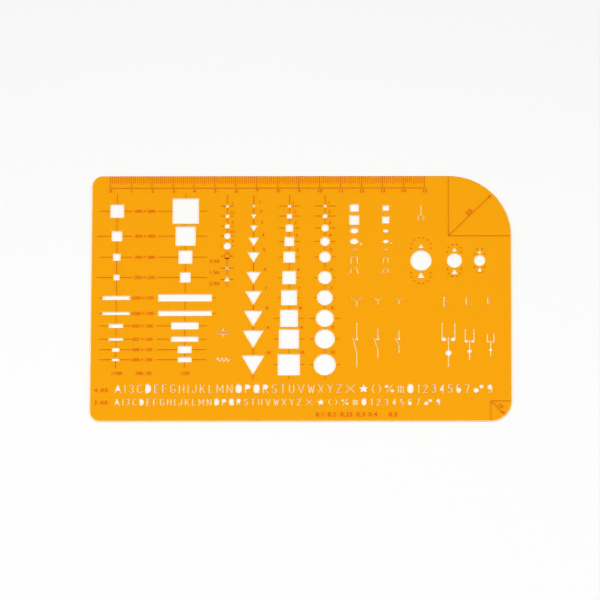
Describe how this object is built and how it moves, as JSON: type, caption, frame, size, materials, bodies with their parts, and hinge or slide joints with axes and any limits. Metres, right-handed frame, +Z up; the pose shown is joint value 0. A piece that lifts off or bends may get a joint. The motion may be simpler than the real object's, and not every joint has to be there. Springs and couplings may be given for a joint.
{
  "type": "lettering template",
  "caption": "Flat clear orange drawing stencil with cut-out letters, figures, plain shapes and wiring-plan symbols, a printed ruler edge and corners of different radii",
  "frame": {"origin": "the middle of the sheet's underside, the face that lies on the paper", "axes": "+X along the ruler from its zero, +Y from the lettering towards the ruler edge, +Z up from the paper"},
  "size_m": [0.2, 0.122, 0.0012],
  "materials": {
    "orange_plastic": "clear, smooth and glossy on both faces",
    "ink": "matt printing ink"
  },
  "bodies": {
    "root": {"stencil_sheet": "orange_plastic", "ruler_print": "ink", "large_radius_print": "ink", "small_radius_print": "ink", "lamp_ring_print": "ink"}
  },
  "joints": []
}
